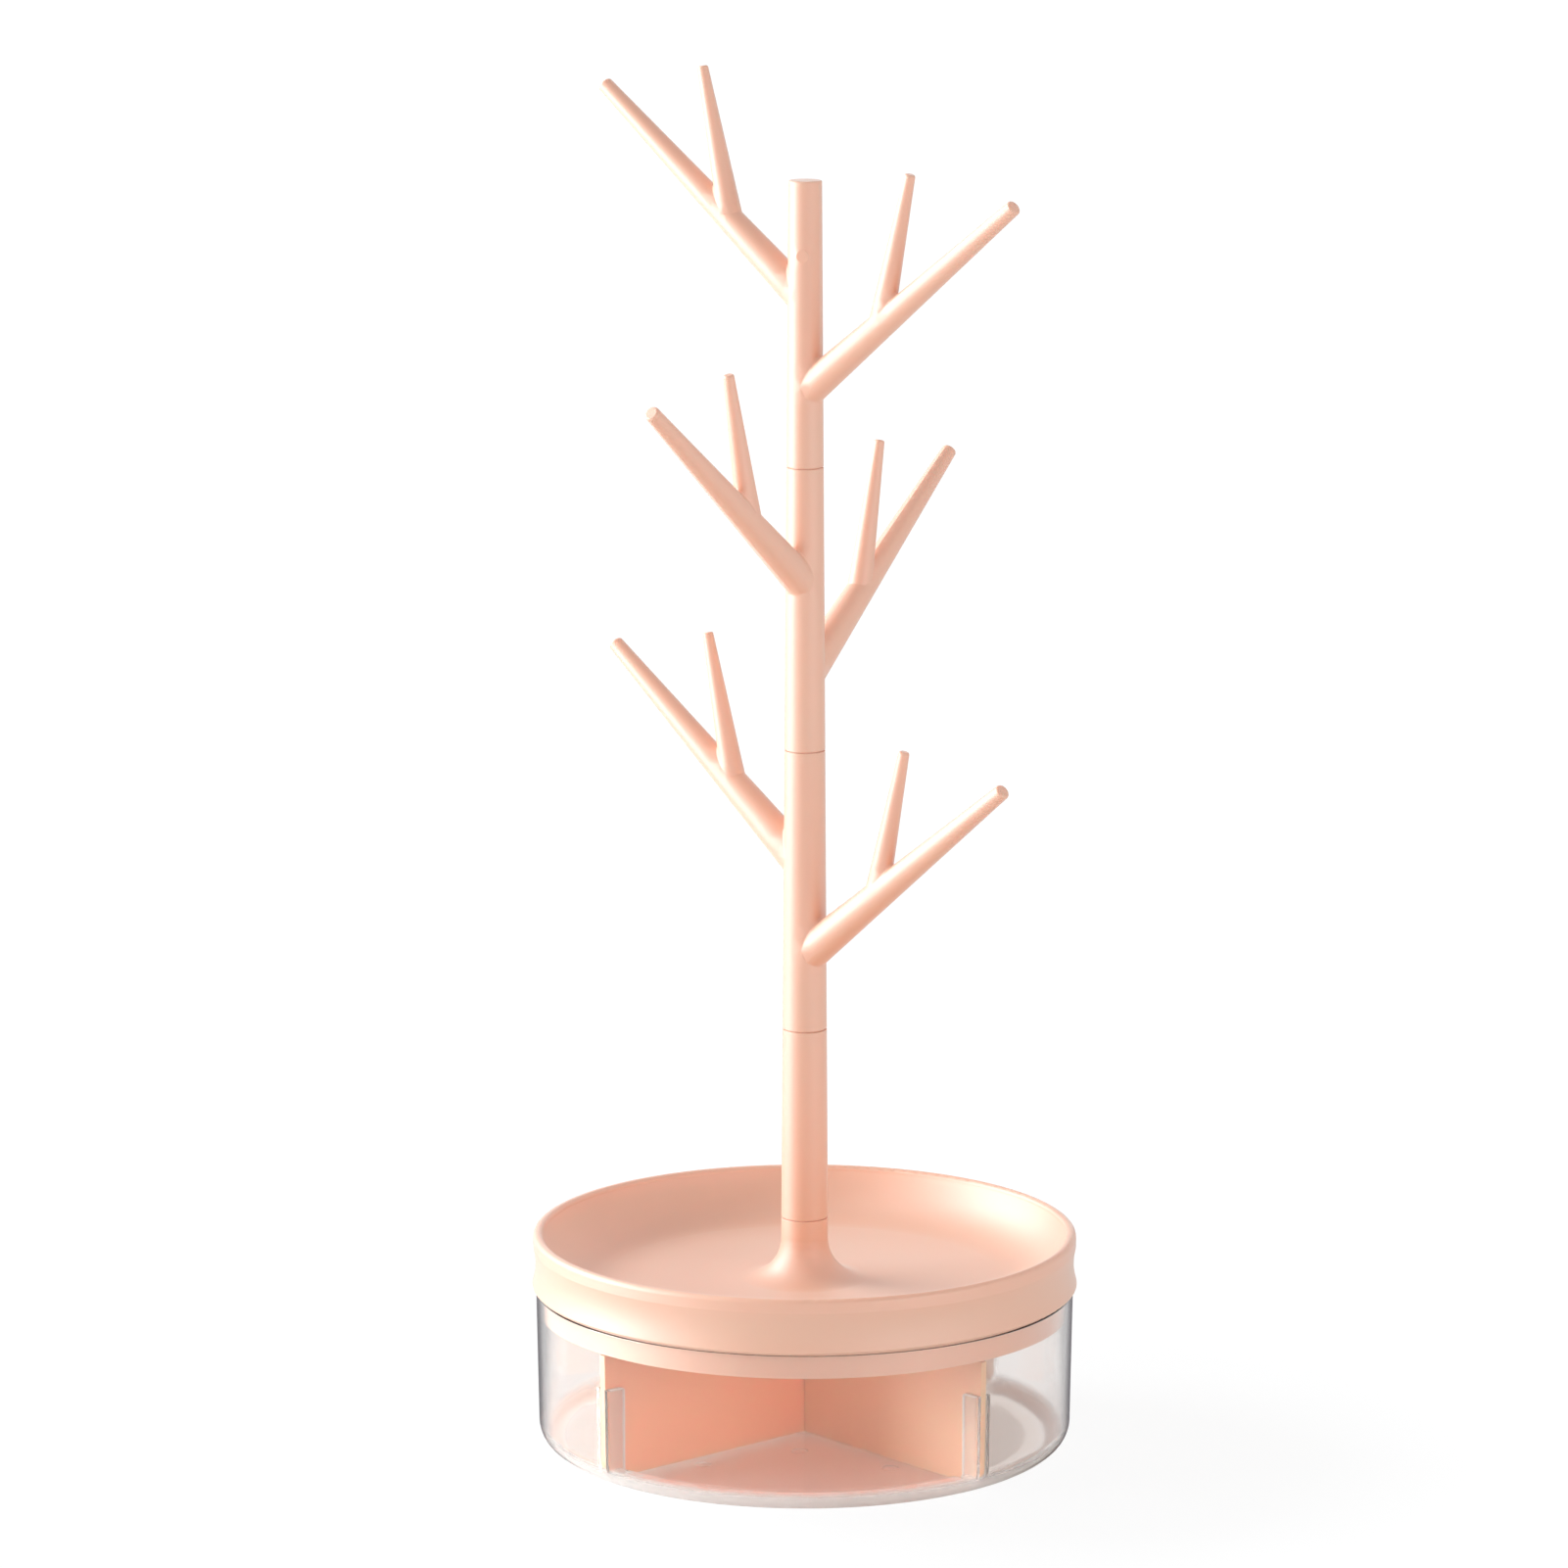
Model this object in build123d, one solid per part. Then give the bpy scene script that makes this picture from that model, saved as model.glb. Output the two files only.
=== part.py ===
from build123d import *
import os
from math import cos, radians, sin, sqrt, tan

# Rotating jewellery stand: a tree of turning branch sections on a tray lid, over a clear divided cup.
# Sizes are in millimetres. The origin is the centre of the face that the cup stands on, +Z is up,
# and the front of the stand is towards -Y. Turns are degrees about +Z, counted from +X.

# Clear cup
cup_diameter = 160.0
cup_height = 47.2
draft_angle = 1.0
cup_wall = 2.0
cup_floor = 2.4
cup_corner = 7.0
cup_rim_round = 0.4
foot_diameter = 132.0
foot_recess = 0.5
gate_diameter = 6.0
gate_depth = 0.5

# Guide ribs that hold the divider inside the cup, and the pin marks in its floor
rib_thickness = 1.2
rib_reach = 6.0
rib_height = 27.2
rib_gap = 0.15
pin_mark_diameter = 5.0
pin_mark_depth = 0.2
pin_mark_inner_radius = 22.4
pin_mark_outer_radius = 46.7
pin_mark_angle = 36.0

# Divider: two plates halved together into a cross, whose arms part the cup into quarters
quarter_turns = (0, 90, 180, 270)
divider_thickness = 2.0
divider_angle = 41.5
divider_end_gap = 0.3
divider_top_gap = 0.5
halving_gap = 0.1

# Tray lid: a dish with a flared boss, a skirt on the cup's rim and a locating ring inside it
skirt_overhang = 1.1
skirt_wall = 2.6
skirt_edge = 0.8
skirt_gap = 0.6
seat_inset = 0.7
waist_depth = 0.9
waist_height = 6.3
lip_inset = 0.3
lip_height = 12.8
rim_height = 16.9
rim_width = 3.0
rim_round = 1.4
tray_wall = 2.0
tray_rise = 2.6
dish_radius = 20.0
flare_radius = 12.0
boss_height = 20.8
boss_crown = 3.5
ring_depth = 7.0
ring_wall = 1.8
ring_gap = 0.4

# Trunk: one taper from the boss to the top, cut into a plain base and three branch sections,
# with a fine shadow groove at each seam
trunk_bottom_diameter = 13.9
trunk_top_diameter = 9.8
base_length = 57.4
section_length = 83.8
seam_round = 0.15
seam_gap = 0.35
seam_depth = 0.7
top_round = 0.5

# Turning plug between two sections, with a snap ring that sits in a groove
socket_wall = 2.4
plug_length = 12.0
plug_chamfer = 0.8
fit_gap = 0.05
plug_end_gap = 0.3
snap_height = 0.25
snap_width = 1.8
snap_crest = 0.6
snap_from_seam = 6.0

# Branches: each section has a low one and, opposite it, a high one, each with an upright twig
low_branch_height = 21.8
high_branch_height = 49.0
branch_angle = 38.5
branch_length = 94.6
branch_inset_bottom = 0.95
branch_inset_top = 0.1
branch_tip_diameter = 4.5
twig_start = 34.7
twig_angle = 76.9
twig_length = 45.5
twig_root_diameter = 7.5
twig_tip_diameter = 3.2
tip_round = 0.7
crotch_round = 0.6

# How the three branch sections stand turned in the photograph
lower_angle = -39.7
middle_angle = 54.1
top_angle = -36.9

# Round moulding mark on the top section
mark_height = 62.2
mark_angle = -62.1
mark_diameter = 3.6
mark_rise = 0.2

# Heights of the seams
boss_top = cup_height + boss_height
base_top = boss_top + base_length
lower_top = base_top + section_length
middle_top = lower_top + section_length
trunk_top = middle_top + section_length


def turned(outline):
    """Revolve a closed half section, drawn as (radius, height), about the stand's axis."""
    return revolve(Plane.XZ * make_face(outline), Axis.Z)


def closed_section(corners):
    """A half section through (radius, height, rounding) corners."""
    points = [(radius, height) for radius, height, _ in corners]
    rounds = [rounding for _, _, rounding in corners]
    return FilletPolyline(*points, radius=rounds, close=True)


def outer_radius(height):
    """The cup's outside radius, which narrows a little towards its foot."""
    return cup_diameter / 2 - (cup_height - height) * tan(radians(draft_angle))


def inner_radius(height):
    return outer_radius(height) - cup_wall


def up_the_trunk(height, bottom_size, top_size):
    """A size that changes evenly from the trunk's bottom to its top, at one height."""
    share = (height - boss_top) / (trunk_top - boss_top)
    return bottom_size + share * (top_size - bottom_size)


def trunk_radius(height):
    """The trunk's radius on its one long taper."""
    return up_the_trunk(height, trunk_bottom_diameter, trunk_top_diameter) / 2


def branch_root_radius(height):
    """A branch's radius on the trunk's axis, where it is a little thinner than the trunk."""
    return trunk_radius(height) - up_the_trunk(height, branch_inset_bottom, branch_inset_top)


def cup_outside():
    return turned(closed_section([
        (0, 0, 0),
        (outer_radius(0), 0, cup_corner),
        (outer_radius(cup_height), cup_height, cup_rim_round),
        (0, cup_height, 0),
    ]))


def cup_hollow(gap, top):
    """The space inside the cup up to a height, held back from its wall by a gap."""
    return turned(closed_section([
        (0, cup_floor, 0),
        (inner_radius(cup_floor) - gap, cup_floor, cup_corner - cup_wall),
        (inner_radius(top) - gap, top, 0),
        (0, top, 0),
    ]))


def guide_rib(turn, side):
    """One clear rib beside a plate's end, from the cup's floor up its wall."""
    reach = rib_reach + cup_wall
    offset = divider_thickness / 2 + rib_gap + rib_thickness / 2
    centre = inner_radius(cup_floor) - rib_reach + reach / 2
    rib = Box(reach, rib_thickness, rib_height, align=(Align.CENTER, Align.CENTER, Align.MIN))
    rib = fillet(rib.edges().filter_by(Axis.Y).sort_by(Axis.Z)[-2:].sort_by(Axis.X)[0], rib_thickness)
    return Rot(0, 0, turn) * Pos(centre, side * offset, cup_floor) * rib


def pin_marks():
    """Shallow round marks that the moulding pins leave, three in each quarter of the floor."""
    marks = []
    for turn in quarter_turns:
        middle = divider_angle + turn + quarter_turns[1] / 2
        for radius, angle in (
            (pin_mark_inner_radius, middle),
            (pin_mark_outer_radius, middle - pin_mark_angle),
            (pin_mark_outer_radius, middle + pin_mark_angle),
        ):
            mark = Cylinder(pin_mark_diameter / 2, 2 * pin_mark_depth)
            marks.append(Rot(0, 0, angle) * Pos(radius, 0, cup_floor) * mark)
    return marks


def clear_cup():
    outside = cup_outside()
    cup = outside - cup_hollow(0, cup_height + cup_wall)
    for turn in quarter_turns:
        for side in (-1, 1):
            cup += guide_rib(divider_angle + turn, side) & outside
    cup -= Cylinder(foot_diameter / 2, 2 * foot_recess)
    cup -= Cylinder(gate_diameter / 2, 2 * (foot_recess + gate_depth))
    return cup - pin_marks()


def divider_plate(turn, slot_from_top):
    """A plate across the cup, with a slot to its middle height for the plate that crosses it."""
    top = cup_height - ring_depth - divider_top_gap
    height = top - cup_floor
    plate = Box(cup_diameter, divider_thickness, 2 * cup_height) & cup_hollow(divider_end_gap, top)
    slot_width = divider_thickness + 2 * halving_gap
    slot_height = height / 2 + halving_gap / 2
    lowest = cup_floor + height - slot_height if slot_from_top else cup_floor
    slot = Box(slot_width, 2 * divider_thickness, slot_height, align=(Align.CENTER, Align.CENTER, Align.MIN))
    return Rot(0, 0, turn) * (plate - Pos(0, 0, lowest) * slot)


def plug_section(seam_height, gap):
    """A turning plug that stands on a seam or, with a gap, the hollow of the socket that takes it."""
    radius = trunk_radius(seam_height) - socket_wall - fit_gap + gap
    end = seam_height + plug_length + (plug_end_gap if gap else 0)
    ring = seam_height + snap_from_seam
    foot = snap_width / 2 + gap
    crest = snap_crest / 2 + gap
    outline = Polyline(
        (0, seam_height),
        (radius, seam_height),
        (radius, ring - foot),
        (radius + snap_height, ring - crest),
        (radius + snap_height, ring + crest),
        (radius, ring + foot),
        (radius, end - plug_chamfer),
        (radius - plug_chamfer, end),
        (0, end),
        close=True,
    )
    return turned(outline)


def trunk_piece(low, high, top_edge):
    """A plain length of the tapered trunk, cut back at its foot for the seam's shadow groove."""
    groove = trunk_radius(low) - seam_depth
    return turned(closed_section([
        (0, low, 0),
        (groove, low, 0),
        (groove, low + seam_gap, 0),
        (trunk_radius(low + seam_gap), low + seam_gap, seam_round),
        (trunk_radius(high), high, top_edge),
        (0, high, 0),
    ]))


def upward(side, angle):
    """Direction of a limb in its section's upright plane, to one side or the other of the trunk."""
    return Vector(side * cos(radians(angle)), 0, sin(radians(angle)))


def limb(foot, direction, length, root_radius, tip_radius):
    """A round tapering limb from a foot point along a direction, with a rounded flat tip."""
    cone = Cone(root_radius, tip_radius, length, align=(Align.CENTER, Align.CENTER, Align.MIN))
    cone = fillet(cone.edges().sort_by(Axis.Z)[-1], tip_round)
    return Plane(origin=foot, z_dir=direction) * cone


def branch_pair(seam):
    """The low branch of one section and, opposite it, the high one, each with its twig."""
    limbs = []
    for height, side in ((low_branch_height, 1), (high_branch_height, -1)):
        foot = Vector(0, 0, seam + height)
        branch = upward(side, branch_angle)
        twig = upward(side, twig_angle)
        limbs.append(limb(foot, branch, branch_length, branch_root_radius(foot.Z), branch_tip_diameter / 2))
        limbs.append(limb(foot + branch * twig_start, twig, twig_length, twig_root_diameter / 2,
                          twig_tip_diameter / 2))
    return limbs


def branch_section(low, high, turn, topped=False):
    """One moulding of the tree, made facing +X and then turned: a length of trunk with its branches."""
    trunk = trunk_piece(low, high, top_round if topped else seam_round)
    limbs = branch_pair(low)
    tree = trunk + limbs
    creases = new_edges(trunk, *limbs, combined=tree)
    tree = fillet(creases, crotch_round)
    tree -= plug_section(low, fit_gap)
    if not topped:
        tree += plug_section(high, 0)
    return Rot(0, 0, turn) * tree


def trunk_base():
    """The plain lowest length of the trunk, between the tray's boss and the first branches."""
    base = trunk_piece(boss_top, base_top, seam_round)
    return base - plug_section(boss_top, fit_gap) + plug_section(base_top, 0)


def moulding_mark():
    """The small raised round mark on the front of the top section."""
    height = middle_top + mark_height
    face = trunk_radius(height)
    mark = Rot(0, 90, 0) * Cylinder(mark_diameter / 2, face + mark_rise,
                                    align=(Align.CENTER, Align.CENTER, Align.MIN))
    return Rot(0, 0, top_angle + mark_angle) * Pos(0, 0, height) * mark


def arc_about(centre, start, end):
    """The shorter arc from a start to an end point about a centre, in the half section's plane."""
    middle = Vector(start) / 2 + Vector(end) / 2 - Vector(centre)
    radius = (Vector(start) - Vector(centre)).length
    return ThreePointArc(start, Vector(centre) + middle.normalized() * radius, end)


def tray_lid():
    """The dish with its flared boss, rolled rim, skirt and locating ring, as one turned moulding."""
    seat = cup_height
    floor = seat + tray_rise
    rim = seat + rim_height
    crown = rim - rim_round
    skirt = cup_diameter / 2 + skirt_overhang
    skirt_foot = seat + skirt_gap
    skirt_inside = skirt - skirt_wall
    seat_edge = cup_diameter / 2 - seat_inset
    lip = skirt - lip_inset
    rim_inside = lip - rim_width
    ring_outside = inner_radius(cup_height) - ring_gap
    ring_inside = ring_outside - ring_wall
    ring_end = seat - ring_depth
    boss = trunk_radius(boss_top)
    core = boss - tray_wall
    core_top = boss_top - boss_crown
    flare = (boss + flare_radius, floor + flare_radius)
    dish = (rim_inside - sqrt(dish_radius ** 2 - (floor + dish_radius - crown) ** 2), floor + dish_radius)

    def under_dish(radius):
        return radius, dish[1] - sqrt((dish_radius + tray_wall) ** 2 - (radius - dish[0]) ** 2)

    outline = [
        Polyline((0, core_top), (0, boss_top), (boss - seam_round, boss_top)),
        arc_about((boss - seam_round, boss_top - seam_round), (boss - seam_round, boss_top),
                  (boss, boss_top - seam_round)),
        Line((boss, boss_top - seam_round), (boss, flare[1])),
        arc_about(flare, (boss, flare[1]), (flare[0], floor)),
        Line((flare[0], floor), (dish[0], floor)),
        arc_about(dish, (dish[0], floor), (rim_inside, crown)),
        arc_about((rim_inside + rim_round, crown), (rim_inside, crown), (rim_inside + rim_round, rim)),
        Line((rim_inside + rim_round, rim), (lip - rim_round, rim)),
        arc_about((lip - rim_round, crown), (lip - rim_round, rim), (lip, crown)),
        Line((lip, crown), (lip, seat + lip_height)),
        ThreePointArc((lip, seat + lip_height), (skirt - waist_depth, seat + waist_height),
                      (skirt, skirt_foot + skirt_edge)),
        arc_about((skirt - skirt_edge, skirt_foot + skirt_edge), (skirt, skirt_foot + skirt_edge),
                  (skirt - skirt_edge, skirt_foot)),
        Polyline((skirt - skirt_edge, skirt_foot), (seat_edge, skirt_foot), (seat_edge, seat),
                 (skirt_inside, seat), under_dish(skirt_inside)),
        arc_about(dish, under_dish(skirt_inside), under_dish(ring_outside)),
        Polyline(under_dish(ring_outside), (ring_outside, ring_end), (ring_inside, ring_end),
                 under_dish(ring_inside)),
        arc_about(dish, under_dish(ring_inside), (dish[0], floor - tray_wall)),
        Line((dish[0], floor - tray_wall), (flare[0], floor - tray_wall)),
        arc_about(flare, (flare[0], floor - tray_wall), (core, flare[1])),
        Polyline((core, flare[1]), (core, core_top), (0, core_top)),
    ]
    return turned(outline) + plug_section(boss_top, 0)


def main():
    pieces = {
        "clear_cup": clear_cup(),
        "divider_plate_lower": divider_plate(divider_angle, True),
        "divider_plate_upper": divider_plate(divider_angle + quarter_turns[1], False),
        "tray_lid": tray_lid(),
        "trunk_base": trunk_base(),
        "branch_section_lower": branch_section(base_top, lower_top, lower_angle),
        "branch_section_middle": branch_section(lower_top, middle_top, middle_angle),
        "branch_section_top": branch_section(middle_top, trunk_top, top_angle, True) + moulding_mark(),
    }
    os.makedirs("parts", exist_ok=True)
    for name, shape in pieces.items():
        export_step(shape, f"parts/{name}.step")


main()
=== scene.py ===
from math import cos, radians, sin

import bmesh
import bpy
from bpy.props import FloatProperty, FloatVectorProperty, IntProperty, PointerProperty
from bpy.types import Operator, Panel, PropertyGroup
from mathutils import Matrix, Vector


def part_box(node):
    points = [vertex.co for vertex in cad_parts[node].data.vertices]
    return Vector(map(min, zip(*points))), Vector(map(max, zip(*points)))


bl_info = {
    "name": "Turning Jewellery Tree",
    "version": (1, 0, 0),
    "blender": (4, 5, 0),
    "location": "3D View > Sidebar > Jewellery Tree",
    "description": "Dresses a moulded jewellery tree on its tray lid and clear divided cup",
    "category": "Object",
}

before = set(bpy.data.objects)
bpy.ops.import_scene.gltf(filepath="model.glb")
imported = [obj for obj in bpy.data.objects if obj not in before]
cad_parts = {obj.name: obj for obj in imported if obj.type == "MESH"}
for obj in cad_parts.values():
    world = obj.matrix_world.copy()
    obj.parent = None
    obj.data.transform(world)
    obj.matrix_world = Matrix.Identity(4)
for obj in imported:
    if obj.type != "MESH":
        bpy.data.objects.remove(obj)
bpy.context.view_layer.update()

MM = 0.001
WHITE = (1.0, 1.0, 1.0, 1.0)
NODE_WIDTH, NODE_HEIGHT = 260, 260  # spacing of the nodes in the editor

PINK_IOR = 1.49
CLEAR_IOR = 1.57
GLOW_BY_COLOUR = (1.0, 0.35, 0.2)  # how far red, green and blue light spread inside, as shares
GRAIN_IN_GLOSS = 0.08  # how much the grain changes the roughness
EDGEWAYS = (0.68, 0.92)  # Facing values between which the clear wall turns edgeways
FLOOR_ROUGHNESS = 0.9
FLOOR_SPECULAR = 0.1
SHADOW_CORE, TONE_CORE = 1 / 3, 1 / 6  # full strength within these shares of the shadow's reach
SENSOR_WIDTH = 36.0  # of the camera, in millimetres

# Heights on the clear cup; the marks have a height and a reach above and below it
FROST_HEIGHTS = (1.2 * MM, 2.6 * MM)
FOOT_HEIGHTS = (2.5 * MM, 7.0 * MM)
ABOVE_FLOOR = (3.0 * MM, 3.4 * MM)
RIB_TOP = 29.6 * MM
PIN_MARKS = (2.25 * MM, 0.1 * MM)
GATE_MARK = (0.85 * MM, 0.25 * MM)
MARKS_WITHIN = (55.0 * MM, 56.0 * MM)  # the radius over which the moulding marks fade out

# Distances inwards from the clear cup's outer edge
OUTER_BAND = (2.7 * MM, 2.2 * MM)
RIB_BAND = (3.6 * MM, 3.0 * MM)
FOOT_BAND = (10.2 * MM, 6.2 * MM)
RIB_END = 8.8 * MM
RIB_EDGE_REACH = 0.5 * MM

BLUSH_NODES = ("tray_lid", "trunk_base")
SECTION_NODES = ("branch_section_lower", "branch_section_middle", "branch_section_top")
DIVIDER_NODES = ("divider_plate_lower", "divider_plate_upper")


class FinishSettings(PropertyGroup):
    """Colours and surface sizes of the moulded plastics."""
    blush: FloatVectorProperty(
        name="Blush", description="Colour of the lid, the trunk and the branches",
        subtype="COLOR", size=3, min=0, max=1, default=(0.925, 0.425, 0.237))
    divider: FloatVectorProperty(
        name="Divider", description="Colour of the cross divider",
        subtype="COLOR", size=3, min=0, max=1, default=(1.0, 0.47, 0.19))
    clear: FloatVectorProperty(
        name="Clear", description="Tint of the clear cup",
        subtype="COLOR", size=3, min=0, max=1, default=(0.957, 0.94, 0.928))
    edge_tint: FloatVectorProperty(
        name="Edge Tint", description="Colour that thick clear plastic lets through",
        subtype="COLOR", size=3, min=0, max=1, default=(0.12, 0.0, 0.06))
    edge_density: FloatProperty(
        name="Edge Density", description="How fast the clear plastic darkens with thickness, per metre",
        min=0, default=8.0)
    clear_roughness: FloatProperty(
        name="Clear Roughness", description="Roughness of the clear plastic above its underside",
        subtype="FACTOR", min=0, max=1, default=0.05)
    shadow_tint: FloatVectorProperty(
        name="Shadow Tint", description="Share of the lamps' light that the clear plastic lets through",
        subtype="COLOR", size=3, min=0, max=1, default=(0.97, 0.965, 0.965))
    milk_and_highlight: FloatVectorProperty(
        name="Milk", description="Colour of the milky share of the clear plastic",
        subtype="COLOR", size=3, min=0, max=1, default=(1.0, 0.94, 0.89))
    underside_frost: FloatProperty(
        name="Underside Frost", description="Roughness of the cup's satin underside",
        subtype="FACTOR", min=0, max=1, default=0.3)
    # Painted highlight: the ribs and floor turn pale edgeways, standing in for bright reflections in their
    # edges; with Haze it also sets their milky share from the front
    rib_painted_highlight: FloatProperty(
        name="Rib Milk", description="How pale the guide ribs look edgeways",
        subtype="FACTOR", min=0, max=1, default=0.7)
    haze: FloatProperty(
        name="Haze", description="How milky the floor and ribs look from the front, as a share of Rib Milk",
        subtype="FACTOR", min=0, max=1, default=0.25)
    foot_milk: FloatProperty(
        name="Foot Milk", description="How milky the rounded foot looks",
        subtype="FACTOR", min=0, max=1, default=0.6)
    mark_milk: FloatProperty(
        name="Mark Milk", description="How pale the moulding marks in the cup's floor look",
        subtype="FACTOR", min=0, max=1, default=0.35)
    # Painted highlight on the inner ends and tops of the guide ribs
    rib_end_painted_highlight: FloatProperty(
        name="Rib Edge", description="How pale the inner ends of the guide ribs look",
        subtype="FACTOR", min=0, max=1, default=0.85)
    # Painted shade: a dark see-through tone on the outer wall where it is seen edgeways, standing in for
    # dark surroundings reflected there
    painted_edge_shade: FloatVectorProperty(
        name="Edge Shade", description="Tone of the clear wall where it is looked at edgeways",
        subtype="COLOR", size=3, min=0, max=1, default=(0.3, 0.28, 0.31))
    edge_strength: FloatProperty(
        name="Edge Strength", description="How strongly that tone shows where the wall is seen edgeways",
        subtype="FACTOR", min=0, max=1, default=0.8)
    satin: FloatProperty(
        name="Satin", description="Roughness of the satin mould finish",
        subtype="FACTOR", min=0, max=1, default=0.5)
    coat: FloatProperty(
        name="Coat", description="Strength of the sheen on the skin that the mould leaves",
        subtype="FACTOR", min=0, max=1, default=1.0)
    coat_satin: FloatProperty(
        name="Coat Satin", description="Roughness of that skin",
        subtype="FACTOR", min=0, max=1, default=0.6)
    coat_ior: FloatProperty(
        name="Coat IOR", description="Refractive index of that skin; a high one gives a strong sheen",
        min=1, default=2.9)
    bloom: FloatProperty(
        name="Bloom", description="Pale bloom where the lit plastic curves away",
        subtype="FACTOR", min=0, max=1, default=0.5)
    bloom_width: FloatProperty(
        name="Bloom Width", description="How far that bloom spreads",
        subtype="FACTOR", min=0, max=1, default=0.35)
    glow: FloatProperty(
        name="Glow", description="How much light soaks into the thin divider plates",
        subtype="FACTOR", min=0, max=1, default=0.6)
    tree_glow: FloatProperty(
        name="Tree Glow", description="How much light soaks into the lid, the trunk and the branches",
        subtype="FACTOR", min=0, max=1, default=0.3)
    glow_depth: FloatProperty(
        name="Glow Depth", description="How far that light spreads inside",
        unit="LENGTH", default=3.5 * MM)
    grain_size: FloatProperty(
        name="Grain Size", description="Size of the fine mould grain",
        unit="LENGTH", default=0.45 * MM)
    grain_depth: FloatProperty(
        name="Grain Depth", description="Depth of the fine mould grain",
        unit="LENGTH", default=0.012 * MM)
    grain_strength: FloatProperty(
        name="Grain Strength", description="How strongly that grain shows",
        subtype="FACTOR", min=0, max=1, default=0.35)
    flow_size: FloatProperty(
        name="Flow Size", description="Size of the faint patches that the plastic's flow leaves",
        unit="LENGTH", default=28 * MM)
    flow_shift: FloatProperty(
        name="Flow Shift", description="How much the tone shifts across a flow patch",
        subtype="FACTOR", min=0, max=1, default=0.035)


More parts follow.
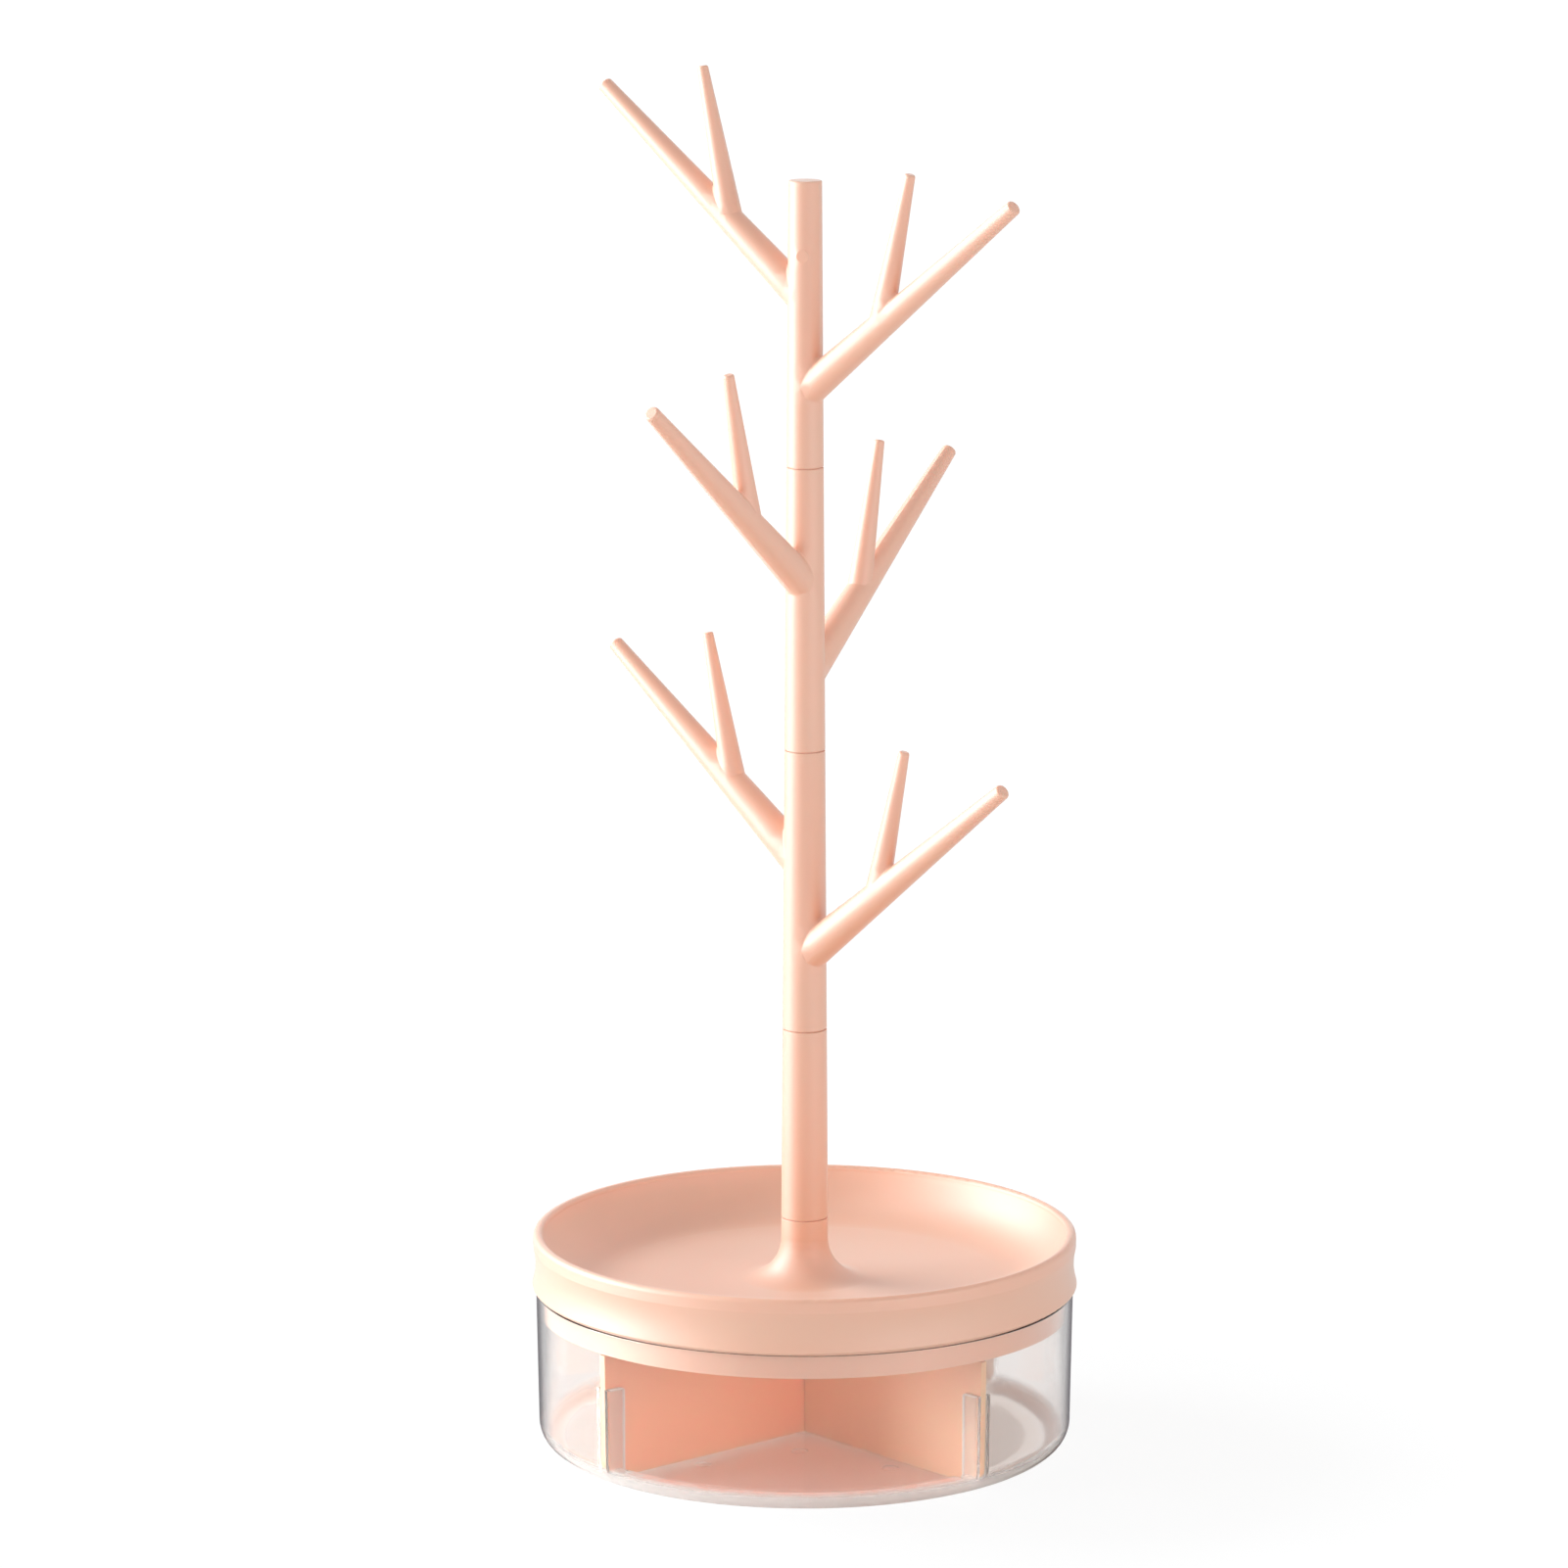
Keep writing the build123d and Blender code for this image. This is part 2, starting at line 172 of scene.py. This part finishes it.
class StudioSettings(PropertyGroup):
    """The camera, the lights and the floor."""
    camera_distance: FloatProperty(
        name="Camera Distance", description="From the trunk's axis to the camera, along the floor",
        unit="LENGTH", default=1.952)
    camera_height: FloatProperty(
        name="Camera Height", description="Height of the camera above the floor",
        unit="LENGTH", default=0.5725)
    camera_tilt: FloatProperty(
        name="Camera Tilt", description="How far the camera looks down",
        subtype="ANGLE", default=radians(10.83))
    camera_turn: FloatProperty(
        name="Camera Turn", description="How far the camera looks to the left of the trunk",
        subtype="ANGLE", default=radians(0.18))
    lens: FloatProperty(
        name="Lens", description="Focal length on a 36 mm wide sensor, in millimetres",
        min=1, default=155.2)
    key_level: FloatProperty(
        name="Key Level", description="Power of the low soft light at the left",
        unit="POWER", default=16.5)
    key_turn: FloatProperty(
        name="Key Turn", description="How far to the left of the camera the key light stands",
        subtype="ANGLE", default=radians(86))
    key_height: FloatProperty(
        name="Key Height", description="Height of the key light above the floor",
        unit="LENGTH", default=0.26)
    key_size: FloatVectorProperty(
        name="Key Size", description="Width and height of the key light",
        size=2, unit="LENGTH", default=(0.8, 0.46))
    high_level: FloatProperty(
        name="High Level", description="Power of the soft light above the left side",
        unit="POWER", default=18.5)
    high_turn: FloatProperty(
        name="High Turn", description="How far to the left of the camera the high light stands",
        subtype="ANGLE", default=radians(112))
    high_height: FloatProperty(
        name="High Height", description="Height of the high light above the floor",
        unit="LENGTH", default=1.0)
    high_size: FloatVectorProperty(
        name="High Size", description="Width and height of the high light",
        size=2, unit="LENGTH", default=(0.8, 0.6))
    daylight: FloatVectorProperty(
        name="Daylight", description="Slightly cool colour of the key and high lamps",
        subtype="COLOR", size=3, min=0, max=1, default=(0.88, 0.96, 1.0))
    fill_level: FloatProperty(
        name="Fill Level", description="Power of the soft light in front, at the right of the camera",
        unit="POWER", default=3.8)
    fill_turn: FloatProperty(
        name="Fill Turn", description="How far to the right of the camera the fill light stands",
        subtype="ANGLE", default=radians(45))
    fill_height: FloatProperty(
        name="Fill Height", description="Height of the fill light above the floor",
        unit="LENGTH", default=0.28)
    fill_size: FloatVectorProperty(
        name="Fill Size", description="Width and height of the fill light",
        size=2, unit="LENGTH", default=(1.2, 0.5))
    aim_height: FloatProperty(
        name="Aim Height", description="Height on the trunk at which the lights are aimed",
        unit="LENGTH", default=0.2)
    room_level: FloatProperty(
        name="Room Level", description="Strength of the light that the pale room sends back",
        min=0, default=0.56)
    overhead: FloatProperty(
        name="Overhead", description="Share of the room's light that comes from straight above",
        subtype="FACTOR", min=0, max=1, default=0.55)
    dim_height: FloatProperty(
        name="Dim Height", description="How high up the room is at its dimmest, as a share of straight up",
        subtype="FACTOR", min=0, max=1, default=0.85)
    lamp_distance: FloatProperty(
        name="Lamp Distance", description="From the trunk's axis to each lamp, along the floor",
        unit="LENGTH", default=1.5)
    floor_tone: FloatVectorProperty(
        name="Floor Tone", description="Colour of the floor in the lamps' light",
        subtype="COLOR", size=3, min=0, max=1, default=(0.86, 0.86, 0.86))
    floor_white: FloatProperty(
        name="Floor White", description="Brightness at which the camera sees the floor and the backdrop",
        min=0, default=1.06)
    shadow_share: FloatProperty(
        name="Shadow Share",
        description="How much of the real light and shadow shows on the floor by the cup",
        subtype="FACTOR", min=0, max=1, default=0.14)
    shadow_reach: FloatProperty(
        name="Shadow Reach", description="Distance at which the floor has faded to plain white",
        unit="LENGTH", default=0.35)
    white_in_gloss: FloatProperty(
        name="White In Gloss", description="Share of that white that shows in the gloss of the plastic",
        subtype="FACTOR", min=0, max=1, default=1.0)
    white_under_cup: FloatProperty(
        name="White Under Cup",
        description="Share of that white that clear plastic shows right under the cup",
        subtype="FACTOR", min=0, max=1, default=0.8)
    # Painted bounce light: a salmon tone painted on the floor right under the cup, standing in for the
    # light the divider throws there
    painted_bounce: FloatVectorProperty(
        name="Bounce", description="Tone that the divider throws on the floor right under the cup",
        subtype="COLOR", size=3, min=0, max=1, default=(1.0, 0.375, 0.245))
    painted_bounce_reach: FloatProperty(
        name="Bounce Reach", description="How far from the middle that tone reaches",
        unit="LENGTH", default=76 * MM)
    painted_bounce_blur: FloatProperty(
        name="Bounce Blur", description="Width over which that tone ends",
        unit="LENGTH", default=8 * MM)
    sector_blur: FloatProperty(
        name="Sector Blur", description="How far that tone fades to each side of the divider",
        unit="LENGTH", default=12 * MM)
    painted_bounce_share: FloatProperty(
        name="Bounce Share", description="How much of that tone shows, against the floor's own shade",
        subtype="FACTOR", min=0, max=1, default=0.85)
    # Painted shade: a beige tone painted on the floor under the cup's other compartments
    painted_under_shade: FloatVectorProperty(
        name="Under Tint", description="Tone of the floor under the cup's other compartments",
        subtype="COLOR", size=3, min=0, max=1, default=(0.78, 0.69, 0.62))
    floor_width: FloatProperty(
        name="Floor Width", description="Width of the pale floor and backdrop",
        unit="LENGTH", default=9.0)
    floor_depth: FloatProperty(
        name="Floor Depth", description="How far the floor runs back before it sweeps up",
        unit="LENGTH", default=3.2)
    sweep_rise: FloatProperty(
        name="Sweep Rise", description="Height of the backdrop",
        unit="LENGTH", default=3.4)
    sweep_round: FloatProperty(
        name="Sweep Round", description="Radius of the curve from floor to backdrop",
        unit="LENGTH", default=1.2)
    sweep_segments: IntProperty(
        name="Sweep Segments", description="Steps in the curve from floor to backdrop",
        min=4, max=64, default=24)


def plug(tree, socket, value):
    """Link another node's output to a socket, or set the socket to a plain value."""
    if isinstance(value, bpy.types.NodeSocket):
        tree.links.new(value, socket)
    else:
        socket.default_value = value


def add_node(tree, kind, inputs=None, **settings):
    """A node with its settings, and with its inputs by name or number."""
    node = tree.nodes.new(kind)
    for key, value in settings.items():
        setattr(node, key, value)
    for key, value in (inputs or {}).items():
        plug(tree, node.inputs[key], value)
    return node


def calc(tree, operation, *values):
    """The result of one step of arithmetic."""
    return add_node(tree, "ShaderNodeMath", dict(enumerate(values)), operation=operation).outputs[0]


def largest(tree, first, *others):
    """The largest of several values."""
    for other in others:
        first = calc(tree, "MAXIMUM", first, other)
    return first


def near(tree, value, middle, reach):
    """One where a value is within reach of a middle, and nothing elsewhere."""
    return calc(tree, "COMPARE", value, middle, reach)


def ramp(tree, value, span, low=0.0, high=1.0, smooth=False):
    """A value that goes from low to high over a span of another, and stays between them."""
    inputs = {"Value": value, "From Min": span[0], "From Max": span[1], "To Min": low, "To Max": high}
    kind = "SMOOTHSTEP" if smooth else "LINEAR"
    return add_node(tree, "ShaderNodeMapRange", inputs, interpolation_type=kind).outputs["Result"]


def vector(tree, operation, *values):
    """The node of one step of vector arithmetic."""
    return add_node(tree, "ShaderNodeVectorMath", dict(enumerate(values)), operation=operation)


def mix_colours(tree, share, first, second):
    """The second colour over the first one, by its share."""
    inputs = {"Factor": share, "A": first, "B": second}
    return add_node(tree, "ShaderNodeMix", inputs, data_type="RGBA").outputs["Result"]


def mix_shaders(tree, share, first, second):
    """The second shader over the first one, by its share."""
    return add_node(tree, "ShaderNodeMixShader", {0: share, 1: first, 2: second}).outputs[0]


def object_place(tree):
    """Object coordinates, which follow the object when it moves."""
    return add_node(tree, "ShaderNodeTexCoord").outputs["Object"]


def arrange(tree):
    """Set the nodes out in columns, each to the left of whatever it feeds."""
    column = {node.name: 0 for node in tree.nodes}
    for _ in tree.nodes:
        for link in tree.links:
            start, end = link.from_node.name, link.to_node.name
            column[start] = max(column[start], column[end] + 1)
    filled = {}
    for node in tree.nodes:
        across = column[node.name]
        down = filled.get(across, 0)
        filled[across] = down + 1
        node.location = (-NODE_WIDTH * across, -NODE_HEIGHT * down)


def new_material(name):
    """A material with an empty node tree."""
    material = bpy.data.materials.new(name)
    material.use_nodes = True
    material.node_tree.nodes.clear()
    return material, material.node_tree


def moulded_skin():
    """Node group of a moulded surface: faint flow patches in the tone, and fine grain in the gloss."""
    group = bpy.data.node_groups.get("Moulded Skin")
    if group:
        return group
    group = bpy.data.node_groups.new("Moulded Skin", "ShaderNodeTree")
    for name, direction, kind in (
        ("Color", "INPUT", "Color"),
        ("Flow Scale", "INPUT", "Float"),
        ("Flow Shift", "INPUT", "Float"),
        ("Grain Scale", "INPUT", "Float"),
        ("Satin", "INPUT", "Float"),
        ("Color", "OUTPUT", "Color"),
        ("Roughness", "OUTPUT", "Float"),
        ("Height", "OUTPUT", "Float"),
    ):
        group.interface.new_socket(name=name, in_out=direction, socket_type="NodeSocket" + kind)

    given = add_node(group, "NodeGroupInput").outputs
    place = object_place(group)
    flow, grain = [
        add_node(group, "ShaderNodeTexNoise", {
            "Vector": place,
            "Scale": given[scale],
            "Detail": detail,
            "Roughness": roughness,
        }).outputs["Fac"]
        for scale, detail, roughness in (("Flow Scale", 2.0, 0.45), ("Grain Scale", 3.0, 0.6))]
    shift = calc(group, "MULTIPLY_ADD", calc(group, "SUBTRACT", flow, 0.5), given["Flow Shift"], 1.0)
    tone = add_node(group, "ShaderNodeVectorMath", {0: given["Color"], "Scale": shift}, operation="SCALE")
    add_node(group, "NodeGroupOutput", {
        "Color": tone.outputs[0],
        "Roughness": calc(group, "MULTIPLY_ADD", grain, GRAIN_IN_GLOSS, given["Satin"]),
        "Height": grain,
    })
    arrange(group)
    return group


def pink_plastic(name, colour, finish, glow):
    """Satin moulded plastic with a sheen on its skin; thin walls glow with the light they soak up."""
    material, tree = new_material(name)
    skin = add_node(tree, "ShaderNodeGroup", {
        "Color": (*colour, 1.0),
        "Flow Scale": 1.0 / finish.flow_size,
        "Flow Shift": finish.flow_shift,
        "Grain Scale": 1.0 / finish.grain_size,
        "Satin": finish.satin,
    }, node_tree=moulded_skin())
    bump = add_node(tree, "ShaderNodeBump", {
        "Strength": finish.grain_strength,
        "Distance": finish.grain_depth,
        "Height": skin.outputs["Height"],
    })
    shader = add_node(tree, "ShaderNodeBsdfPrincipled", {
        "Base Color": skin.outputs["Color"],
        "Roughness": skin.outputs["Roughness"],
        "Normal": bump.outputs["Normal"],
        "IOR": PINK_IOR,
        "Subsurface Weight": glow,
        "Subsurface Radius": GLOW_BY_COLOUR,
        "Subsurface Scale": finish.glow_depth,
        "Coat Weight": finish.coat,
        "Coat Roughness": finish.coat_satin,
        "Coat IOR": finish.coat_ior,
        "Sheen Weight": finish.bloom,
        "Sheen Roughness": finish.bloom_width,
    })
    add_node(tree, "ShaderNodeOutputMaterial", {"Surface": shader.outputs["BSDF"]})
    arrange(tree)
    return material


def clear_plastic(finish):
    """Clear glossy moulded plastic, which lets the lamps' light through with hardly any loss.

    Foot and moulding marks get a milky share; the floor and ribs a milky share that turns into a painted
    pale highlight edgeways, the ribs' ends and tops a painted highlight, and the outer wall a painted dark
    shade edgeways.
    """
    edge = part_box("clear_cup")[1][0]
    material, tree = new_material("Clear Plastic")
    place = object_place(tree)
    height = add_node(tree, "ShaderNodeSeparateXYZ", {0: place}).outputs["Z"]
    radius = vector(tree, "LENGTH", vector(tree, "MULTIPLY", place, (1, 1, 0)).outputs[0]).outputs["Value"]
    facing = add_node(tree, "ShaderNodeLayerWeight", {"Blend": 0.5}).outputs["Facing"]
    edgeways = ramp(tree, facing, EDGEWAYS, high=finish.edge_strength, smooth=True)

    def inwards(span, **levels):
        """A ramp outwards between two distances from the cup's outer edge."""
        return ramp(tree, radius, [edge - distance for distance in span], **levels)

    foot = calc(
        tree, "MULTIPLY", ramp(tree, height, FOOT_HEIGHTS, finish.foot_milk, 0.0, smooth=True),
        inwards(FOOT_BAND, smooth=True))
    inner = inwards(RIB_BAND, low=finish.rib_painted_highlight, high=0.0)
    # Painted highlight: ribs and floor pale as they turn edgeways
    ribs = calc(tree, "MULTIPLY", inner, ramp(tree, edgeways, (0.0, finish.edge_strength), finish.haze))
    # Painted highlights on the ribs' inner ends and tops
    rib_end_highlight = calc(
        tree, "MULTIPLY", near(tree, radius, edge - RIB_END, RIB_EDGE_REACH),
        ramp(tree, height, ABOVE_FLOOR, high=finish.rib_end_painted_highlight))
    rib_top_highlight = calc(tree, "MULTIPLY", near(tree, height, RIB_TOP, RIB_EDGE_REACH), inner)
    marks = calc(
        tree, "MULTIPLY", ramp(tree, radius, MARKS_WITHIN, finish.mark_milk, 0.0),
        largest(tree, near(tree, height, *PIN_MARKS), near(tree, height, *GATE_MARK)))
    # Milky share of the foot and the marks, with the painted highlights on the ribs and floor
    milky = largest(tree, ribs, foot, rib_end_highlight, rib_top_highlight, marks)
    frost = ramp(tree, height, FROST_HEIGHTS, finish.underside_frost, finish.clear_roughness)

    shader = add_node(tree, "ShaderNodeBsdfPrincipled", {
        "Base Color": (*finish.clear, 1.0),
        "Roughness": largest(tree, frost, foot),
        "IOR": CLEAR_IOR,
        "Transmission Weight": 1.0,
    }).outputs["BSDF"]
    # White diffuse for the milky foot and marks, and for the painted rib highlights
    milk_and_highlight = add_node(tree, "ShaderNodeBsdfDiffuse", {"Color": (*finish.milk_and_highlight, 1.0)}).outputs["BSDF"]
    shade, through = [
        add_node(tree, "ShaderNodeBsdfTransparent", {"Color": (*colour, 1.0)}).outputs["BSDF"]
        for colour in (finish.painted_edge_shade, finish.shadow_tint)]
    # Painted edge shade over the outer wall where it turns edgeways
    rim = calc(tree, "MULTIPLY", inwards(OUTER_BAND), edgeways)
    seen = mix_shaders(tree, rim, mix_shaders(tree, milky, shader, milk_and_highlight), shade)
    shadow_ray = add_node(tree, "ShaderNodeLightPath").outputs["Is Shadow Ray"]
    absorbed = add_node(tree, "ShaderNodeVolumeAbsorption", {
        "Color": (*finish.edge_tint, 1.0), "Density": finish.edge_density})
    add_node(tree, "ShaderNodeOutputMaterial", {
        "Surface": mix_shaders(tree, shadow_ray, seen, through),
        "Volume": absorbed.outputs["Volume"],
    })
    arrange(tree)
    return material


def dress(node, material):
    """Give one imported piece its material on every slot."""
    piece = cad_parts[node]
    if not piece.material_slots:
        piece.data.materials.append(material)
    for slot in piece.material_slots:
        slot.material = material


def deselect_all():
    """Leave edit mode and select nothing, so that the next operator works on its own object."""
    if bpy.context.mode != "OBJECT":
        bpy.ops.object.mode_set(mode="OBJECT")
    bpy.ops.object.select_all(action="DESELECT")


class JEWELTREE_OT_clear_cup(Operator):
    """Dress the clear cup in glossy see-through plastic"""
    bl_idname = "jeweltree.clear_cup"
    bl_label = "Clear Cup"

    def execute(self, context):
        dress("clear_cup", clear_plastic(context.scene.jeweltree_finish))
        return {"FINISHED"}


class JEWELTREE_OT_divider(Operator):
    """Dress the two plates of the cross divider"""
    bl_idname = "jeweltree.divider"
    bl_label = "Cross Divider"

    def execute(self, context):
        finish = context.scene.jeweltree_finish
        material = pink_plastic("Divider Plastic", finish.divider, finish, finish.glow)
        for node in DIVIDER_NODES:
            dress(node, material)
        return {"FINISHED"}


class JEWELTREE_OT_tree(Operator):
    """Dress the tray lid, the trunk and the three branch sections"""
    bl_idname = "jeweltree.tree"
    bl_label = "Lid, Trunk and Branches"

    def execute(self, context):
        finish = context.scene.jeweltree_finish
        material = pink_plastic("Blush Plastic", finish.blush, finish, finish.tree_glow)
        for node in BLUSH_NODES + SECTION_NODES:
            dress(node, material)
        return {"FINISHED"}


def stage_material(studio):
    """A pale matt floor that the camera sees as white, with the object's shadow kept beside the cup.

    Clear plastic shows it darker under the cup, in painted light and shade: a painted salmon bounce light
    in the sector in front, where the divider faces it, and a painted beige shade in the others.
    """
    material, tree = new_material("Pale Floor")
    material.cycles.emission_sampling = "NONE"
    rays = add_node(tree, "ShaderNodeLightPath").outputs
    place = object_place(tree)
    spot = add_node(tree, "ShaderNodeSeparateXYZ", {0: place}).outputs
    reach = vector(tree, "LENGTH", place).outputs["Value"]
    seen, toned = [
        ramp(tree, reach, (start * studio.shadow_reach, studio.shadow_reach), low, smooth=True)
        for start, low in ((SHADOW_CORE, 1.0 - studio.shadow_share), (TONE_CORE, studio.white_under_cup))]

    # Painted bounce light in the sector in front of the divider, painted shade under the other compartments
    ahead = calc(tree, "ADD", calc(tree, "ABSOLUTE", spot["X"]), spot["Y"])
    aside = ramp(tree, ahead, (-studio.sector_blur, studio.sector_blur), smooth=True)
    outside = ramp(
        tree, reach, (studio.painted_bounce_reach - studio.painted_bounce_blur, studio.painted_bounce_reach), smooth=True)
    plain = largest(tree, outside, rays["Is Camera Ray"])
    cool = largest(tree, aside, rays["Is Camera Ray"], outside)
    # Painted beige shade under the cup, then painted salmon bounce light in front, for clear plastic to
    # show
    pale = mix_colours(tree, plain, (*studio.painted_under_shade, 1.0), WHITE)
    tone = mix_colours(tree, cool, (*studio.painted_bounce, 1.0), pale)
    white = add_node(tree, "ShaderNodeEmission", {"Color": tone, "Strength": studio.floor_white})

    glass = largest(
        tree, calc(tree, "MULTIPLY", rays["Is Glossy Ray"], studio.white_in_gloss),
        rays["Is Transmission Ray"])
    # Share of the painted bounce light and painted shade that clear plastic sees under the cup
    under = largest(tree, toned, ramp(tree, cool, (0.0, 1.0), studio.painted_bounce_share, 0.0))
    share = largest(
        tree, calc(tree, "MULTIPLY", rays["Is Camera Ray"], seen), calc(tree, "MULTIPLY", glass, under))
    shader = add_node(tree, "ShaderNodeBsdfPrincipled", {
        "Base Color": (*studio.floor_tone, 1.0),
        "Roughness": FLOOR_ROUGHNESS,
        "Specular IOR Level": FLOOR_SPECULAR,
    })
    add_node(tree, "ShaderNodeOutputMaterial", {
        "Surface": mix_shaders(tree, share, shader.outputs["BSDF"], white.outputs["Emission"])})
    arrange(tree)
    return material


def select_edges(data, wanted):
    """Select the edges of a mesh in edit mode whose two corners are wanted."""
    bpy.ops.mesh.select_all(action="DESELECT")
    mesh = bmesh.from_edit_mesh(data)
    for edge in mesh.edges:
        edge.select_set(all(wanted(corner.co) for corner in edge.verts))
    bmesh.update_edit_mesh(data)


def sweep(studio):
    """The pale floor, whose back edge is extruded up and rounded into a backdrop."""
    back = studio.floor_depth - MM
    deselect_all()
    bpy.ops.mesh.primitive_plane_add(size=1.0, location=(0, 0, 0))
    stage = bpy.context.object
    stage.name = "pale_floor"
    stage.scale = (studio.floor_width, 2 * studio.floor_depth, 1)
    bpy.ops.object.transform_apply(location=True, rotation=True, scale=True)
    bpy.ops.object.mode_set(mode="EDIT")
    bpy.ops.mesh.select_mode(type="EDGE")
    select_edges(stage.data, lambda corner: corner.y > back)
    bpy.ops.mesh.extrude_region_move(TRANSFORM_OT_translate={"value": (0, 0, studio.sweep_rise)})
    select_edges(stage.data, lambda corner: corner.y > back and corner.z < MM)
    bpy.ops.mesh.bevel(offset=studio.sweep_round, segments=studio.sweep_segments, affect="EDGES")
    bpy.ops.mesh.select_all(action="SELECT")
    bpy.ops.mesh.normals_make_consistent(inside=False)
    bpy.ops.object.mode_set(mode="OBJECT")
    bpy.ops.object.shade_smooth()
    stage.data.materials.append(stage_material(studio))


def soft_lamp(studio, name, turn, height, size, power, colour):
    """A rectangular soft lamp that faces the tree, turned round it to the right of the camera."""
    deselect_all()
    place = Vector((studio.lamp_distance * sin(turn), -studio.lamp_distance * cos(turn), height))
    bpy.ops.object.light_add(type="AREA", location=place)
    lamp = bpy.context.object
    lamp.name = name
    lamp.data.shape = "RECTANGLE"
    lamp.data.size, lamp.data.size_y = size
    lamp.data.color = colour
    lamp.data.energy = power
    target = Vector((0, 0, studio.aim_height))
    lamp.rotation_euler = (target - place).to_track_quat("-Z", "Y").to_euler()


def pale_room(studio):
    """World light: a pale room, dimmer overhead; camera, gloss and clear plastic see plain white."""
    world = bpy.data.worlds.new("Pale Room")
    bpy.context.scene.world = world
    world.use_nodes = True
    tree = world.node_tree
    tree.nodes.clear()
    place = add_node(tree, "ShaderNodeTexCoord").outputs["Generated"]
    up = add_node(tree, "ShaderNodeSeparateXYZ", {0: place}).outputs["Z"]
    dimming = add_node(tree, "ShaderNodeValToRGB", {"Fac": up})
    levels = ((0.0, 1.0), (studio.dim_height, studio.overhead))
    for end, (position, level) in zip(dimming.color_ramp.elements, levels):
        end.position = position
        end.color = (level, level, level, 1.0)
    room, shown = [
        add_node(tree, "ShaderNodeBackground", {"Color": colour, "Strength": strength}).outputs[0]
        for colour, strength in ((dimming.outputs["Color"], studio.room_level), (WHITE, 1.0))]
    rays = add_node(tree, "ShaderNodeLightPath").outputs
    sees_white = largest(
        tree, rays["Is Camera Ray"], rays["Is Transmission Ray"],
        calc(tree, "MULTIPLY", rays["Is Glossy Ray"], studio.white_in_gloss))
    add_node(tree, "ShaderNodeOutputWorld", {"Surface": mix_shaders(tree, sees_white, room, shown)})
    arrange(tree)


def photo_camera(studio):
    """The camera at the photograph's viewing angle."""
    deselect_all()
    bpy.ops.object.camera_add(
        location=(0, -studio.camera_distance, studio.camera_height),
        rotation=(radians(90) - studio.camera_tilt, 0, studio.camera_turn))
    camera = bpy.context.object
    camera.name = "photo_camera"
    camera.data.sensor_width = SENSOR_WIDTH
    camera.data.lens = studio.lens
    camera.data.dof.use_dof = False
    bpy.context.scene.camera = camera


class JEWELTREE_OT_studio(Operator):
    """Add the pale floor, the soft lamps and the camera"""
    bl_idname = "jeweltree.studio"
    bl_label = "Studio"

    def execute(self, context):
        studio = context.scene.jeweltree_studio
        sweep(studio)
        soft_lamp(
            studio, "key_lamp", -studio.key_turn, studio.key_height,
            studio.key_size, studio.key_level, studio.daylight)
        soft_lamp(
            studio, "high_lamp", -studio.high_turn, studio.high_height,
            studio.high_size, studio.high_level, studio.daylight)
        soft_lamp(
            studio, "fill_lamp", studio.fill_turn, studio.fill_height,
            studio.fill_size, studio.fill_level, (1, 1, 1))
        pale_room(studio)
        photo_camera(studio)
        context.scene.view_settings.view_transform = "Standard"
        return {"FINISHED"}


class JEWELTREE_PT_panel(Panel):
    """Sidebar panel with the settings and the operators in their order"""
    bl_idname = "JEWELTREE_PT_panel"
    bl_label = "Jewellery Tree"
    bl_space_type = "VIEW_3D"
    bl_region_type = "UI"
    bl_category = "Jewellery Tree"

    def draw(self, context):
        layout = self.layout
        for settings in (context.scene.jeweltree_finish, context.scene.jeweltree_studio):
            for name in settings.__annotations__:
                layout.prop(settings, name)
        for operator in OPERATORS:
            layout.operator(operator.bl_idname)


OPERATORS = (JEWELTREE_OT_clear_cup, JEWELTREE_OT_divider, JEWELTREE_OT_tree, JEWELTREE_OT_studio)
CLASSES = (FinishSettings, StudioSettings, *OPERATORS, JEWELTREE_PT_panel)


def register():
    """Add the settings, the operators and the panel to Blender."""
    for item in CLASSES:
        bpy.utils.register_class(item)
    bpy.types.Scene.jeweltree_finish = PointerProperty(type=FinishSettings)
    bpy.types.Scene.jeweltree_studio = PointerProperty(type=StudioSettings)


def unregister():
    """Take the settings, the operators and the panel out of Blender again."""
    del bpy.types.Scene.jeweltree_studio
    del bpy.types.Scene.jeweltree_finish
    for item in reversed(CLASSES):
        bpy.utils.unregister_class(item)


def main():
    """Register the add-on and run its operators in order."""
    register()
    bpy.ops.jeweltree.clear_cup()
    bpy.ops.jeweltree.divider()
    bpy.ops.jeweltree.tree()
    bpy.ops.jeweltree.studio()


if __name__ == "__main__":
    main()
